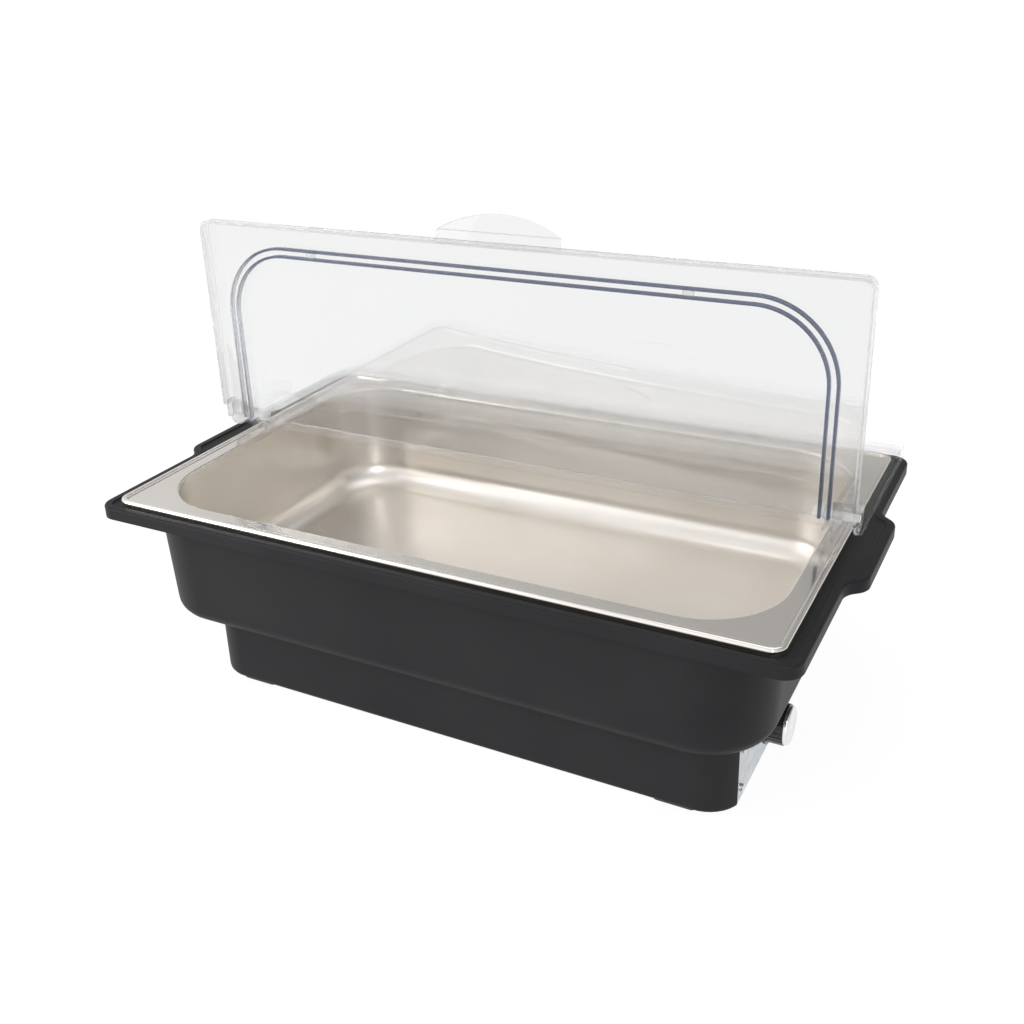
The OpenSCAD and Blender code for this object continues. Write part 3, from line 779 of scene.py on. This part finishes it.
nylon, nodes, links, shader, place = material("natural_nylon")
milk = noise(nodes, links, place, 120, 3)
finish(nodes, links, shader, milk, (0.80, 0.80, 0.78), (0.88, 0.88, 0.87), 0.28, 0.4)
shader.inputs["Subsurface Weight"].default_value = 0.25
shader.inputs["Subsurface Radius"].default_value = (0.004, 0.004, 0.004)
relief(nodes, links, shader, milk, 0.0001, 0.2)
for side, pin_node in ((-1, "hinge_pin_left"), (1, "hinge_pin_right")):
    pin_low, pin_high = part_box(pin_node)
    tip, head = (pin_low.x, pin_high.x) if side < 0 else (pin_high.x, pin_low.x)
    neck = head + side * HEAD_LENGTH
    x0, x1 = sorted((head, neck))
    cap = rod("pin_head", x0, x1, 0, HINGE_Z, HEAD_R, 64)
    edit(cap)
    pick_ring(head)
    bevel(1.8 * MM, 6)
    pick_ring(neck)
    bevel(0.5 * MM, 3)
    x0, x1 = sorted((neck - side * 0.5 * MM, tip))
    shank = rod("pin_shank", x0, x1, 0, HINGE_Z, SHANK_R, 64)
    edit(shank)
    pick_ring(tip)
    bevel(0.6 * MM, 3)
    pin = finish_mesh(join([cap, shank], pin_node + "_turned"), 40)
    wear(pin, nylon)
    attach(pin, "lid_pins")
    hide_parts(pin_node)

# ---- Thermostat knob ----
# A gloss black moulding with a thin skirt and fine grip flutes, pushed on the thermostat's shaft. A bright
# plated cap, turned on a lathe, covers its face.
SKIRT_T = 3 * MM
GRIP_INSET = 2 * MM
CAP_INSET = 0.8 * MM
FLUTE_EVERY = 4
skirt_low, skirt_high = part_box("knob_body")
cap_low, cap_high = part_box("knob_cap")
knob_y = (skirt_low.y + skirt_high.y) / 2
knob_z = (skirt_low.z + skirt_high.z) / 2
skirt_r = (skirt_high.y - skirt_low.y) / 2
grip_r = skirt_r - GRIP_INSET
black_gloss, nodes, links, shader, place = material("knob_gloss_black")
swirl = noise(nodes, links, place, 160, 3)
finish(nodes, links, shader, swirl, (0.006, 0.006, 0.006), (0.012, 0.012, 0.012), 0.12, 0.22)
relief(nodes, links, shader, swirl, 0.00005, 0.2)
plated, nodes, links, shader, place = material("knob_plated_cap")
lathe = nodes.new("ShaderNodeTexWave")
lathe.wave_type = "RINGS"
lathe.rings_direction = "X"
lathe.inputs["Scale"].default_value = 700
lathe.inputs["Distortion"].default_value = 0.4
centre = nodes.new("ShaderNodeMapping")
centre.inputs["Location"].default_value = (0, -knob_y, -knob_z)
links.new(place, centre.inputs["Vector"])
links.new(centre.outputs["Vector"], lathe.inputs["Vector"])
finish(nodes, links, shader, lathe.outputs["Fac"], (0.74, 0.73, 0.72), (0.86, 0.85, 0.84), 0.14, 0.26)
shader.inputs["Metallic"].default_value = 1.0
relief(nodes, links, shader, lathe.outputs["Fac"], 0.00003, 0.3)
skirt = rod("skirt", skirt_low.x, skirt_low.x + SKIRT_T, knob_y, knob_z, skirt_r, 96)
round_edges(skirt, 0.7 * MM, 4, 50)
grip = rod("grip", skirt_low.x + SKIRT_T - 0.5 * MM, skirt_high.x, knob_y, knob_z, grip_r, 96)
edit(grip)
pick_ring(skirt_high.x)
bevel(0.5 * MM, 3)
pick("FACE", lambda f: abs(f.normal.x) < 0.1 and f.index % FLUTE_EVERY == 0 and f.calc_area() > 1e-7)
bpy.ops.mesh.inset(thickness=0.12 * MM, depth=-0.35 * MM, use_individual=True)
knob = finish_mesh(join([grip, skirt], "knob_moulding"), 30)
wear(knob, black_gloss)
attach(knob, "knob")
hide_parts("knob_body")
crown = rod("crown", cap_low.x, cap_high.x, knob_y, knob_z, grip_r - CAP_INSET, 96)
edit(crown)
pick_ring(cap_high.x)
bevel(1.6 * MM, 5)
pick("FACE", lambda f: f.normal.x > 0.99)
inset(1.2 * MM)
inset(0.5 * MM, -0.3 * MM)
cap = finish_mesh(crown, 30)
cap.name = "knob_cap_plated"
wear(cap, plated)
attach(cap, "knob")
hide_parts("knob_cap")


# ---- Sheet metal and fittings ----
# The control plate, bottom cover and clamp plate are zinc-coated sheet, screwed or bolted on with bright
# plated steel. The water tray is stainless, the heating element has a dulled metal sheath, and the fittings
# inside are moulded plastics, rubber and pressed fibre.
def metal(name, dark, light, low, high, scale, stretch=(1, 1, 1), bump=0.00003):
    """Bare or plated metal, its tone and gloss broken up by one pattern."""
    made, nodes, links, shader, place = material(name)
    pattern = noise(nodes, links, place, scale, 4, stretch)
    finish(nodes, links, shader, pattern, dark, light, low, high)
    shader.inputs["Metallic"].default_value = 1.0
    relief(nodes, links, shader, pattern, bump, 0.3)
    return made


spangle, nodes, links, shader, place = material("zinc_sheet")
flakes = nodes.new("ShaderNodeTexVoronoi")
flakes.inputs["Scale"].default_value = 130
links.new(place, flakes.inputs["Vector"])
links.new(tint(nodes, links, flakes.outputs["Color"], (0.46, 0.49, 0.51), (0.58, 0.61, 0.63)),
          shader.inputs["Base Color"])
links.new(spread(nodes, links, flakes.outputs["Color"], 0.3, 0.46, 0, 1), shader.inputs["Roughness"])
shader.inputs["Metallic"].default_value = 1.0
bright_steel = metal("bright_screw_steel", (0.60, 0.60, 0.61), (0.74, 0.74, 0.75), 0.2, 0.34, 400)
tray_steel = metal("tray_stainless", (0.62, 0.60, 0.57), (0.65, 0.63, 0.60), 0.27, 0.33, 90, (1, 50, 50),
                   0.00001)
sheath = metal("element_sheath", (0.20, 0.16, 0.13), (0.36, 0.31, 0.27), 0.35, 0.55, 40)
copper = metal("drawn_copper", (0.62, 0.36, 0.22), (0.76, 0.48, 0.3), 0.25, 0.4, 90, (1, 8, 8))
fibre = moulding("pressed_fibre", (0.62, 0.58, 0.47), (0.78, 0.74, 0.63), 0.85, 0.97, 260, 0.0006)
silicone = moulding("red_silicone", (0.30, 0.05, 0.03), (0.4, 0.08, 0.05), 0.45, 0.6, 140)
black_part = moulding("black_fitting", (0.015, 0.015, 0.015), (0.03, 0.03, 0.03), 0.4, 0.52, 300)
cream_part = moulding("cream_fitting", (0.60, 0.55, 0.43), (0.7, 0.65, 0.53), 0.4, 0.55, 120)
amber = moulding("amber_lens", (0.62, 0.13, 0.01), (0.75, 0.2, 0.02), 0.08, 0.16, 60, 0.00005)
fitted = {
    spangle: ("control_plate", "bottom_cover", "clamp_plate"),
    bright_steel: ("bottom_cover_screws", "control_plate_screws", "clamp_studs", "clamp_nuts",
                   "thermostat_screws", "inlet_screws", "thermostat_shaft"),
    tray_steel: ("water_tray",),
    sheath: ("heating_element",),
    copper: ("sensing_bulb", "earth_stud"),
    fibre: ("insulation_pad",),
    silicone: ("tray_gasket",),
    black_part: ("thermal_cutout", "power_inlet"),
    cream_part: ("thermostat_body", "terminal_block"),
    amber: ("indicator_lamp",),
}
for substance, names in fitted.items():
    for part_name in names:
        wear(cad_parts[part_name], substance)

# ---- Lights and floor ----
# A plain floor that gives off its own light, so that it looks white and stays almost free of shadow. The
# sky is even at the horizon and brighter above on the side of the key lamp. Four soft lamps add the gloss.
FLOOR_SIZE = 60
FLOOR_GAP = 0.2 * MM
deselect_all()
bpy.ops.mesh.primitive_plane_add(size=FLOOR_SIZE, location=(0, 0, -FLOOR_GAP))
ground = bpy.context.object
ground.name = "ground"
paper, nodes, links, shader, place = material("backdrop_paper")
shader.inputs["Base Color"].default_value = (0.07, 0.07, 0.07, 1)
shader.inputs["Roughness"].default_value = 0.9
shader.inputs["Emission Color"].default_value = (1, 1, 1, 1)
shader.inputs["Emission Strength"].default_value = 0.93
wear(ground, paper)
world = bpy.data.worlds.new("studio")
bpy.context.scene.world = world
bpy.context.scene.view_settings.view_transform = "Standard"
world.use_nodes = True
nodes, links = world.node_tree.nodes, world.node_tree.links
sky = nodes.new("ShaderNodeTexCoord")
key_side = nodes.new("ShaderNodeVectorMath")
key_side.operation = "DOT_PRODUCT"
key_side.inputs[1].default_value = (-0.62, -0.78, 0)
links.new(sky.outputs["Generated"], key_side.inputs[0])
nodes["Background"].inputs["Color"].default_value = (1, 1, 1, 1)
sky_height = nodes.new("ShaderNodeSeparateXYZ")
links.new(sky.outputs["Generated"], sky_height.inputs["Vector"])
sky_light = nodes.new("ShaderNodeMix")
sky_light.inputs[2].default_value = 1.0
links.new(spread(nodes, links, sky_height.outputs["Z"], 0.0, 1.0, 0.04, 0.3), sky_light.inputs[0])
links.new(spread(nodes, links, key_side.outputs["Value"], 0.42, 1.35, -0.7, 0.8), sky_light.inputs[3])
links.new(sky_light.outputs[0], nodes["Background"].inputs["Strength"])


def softbox(name, spot, aim, size, power):
    """A rectangular area light that faces a point."""
    lamp = bpy.data.lights.new(name, "AREA")
    lamp.shape = "RECTANGLE"
    lamp.size, lamp.size_y = size
    lamp.energy = power
    holder = bpy.data.objects.new(name, lamp)
    bpy.context.scene.collection.objects.link(holder)
    holder.matrix_world = Matrix.Translation(Vector(spot)) @ (Vector(spot) - Vector(aim)).to_track_quat(
        "Z", "Y").to_matrix().to_4x4()


softbox("key", (-1.6, -1.3, 1.7), (0, 0, 0.1), (1.2, 1.2), 8)
softbox("top", (0.2, 0.6, 2.2), (0, 0, 0.1), (1.4, 1.4), 6)
softbox("strip_front", (1.0, -1.5, 0.9), (-0.2, 0.1, 0.12), (0.05, 1.6), 10)
softbox("side", (-1.0, -1.1, 0.35), (-0.2, 0, 0.1), (0.6, 0.4), 6)
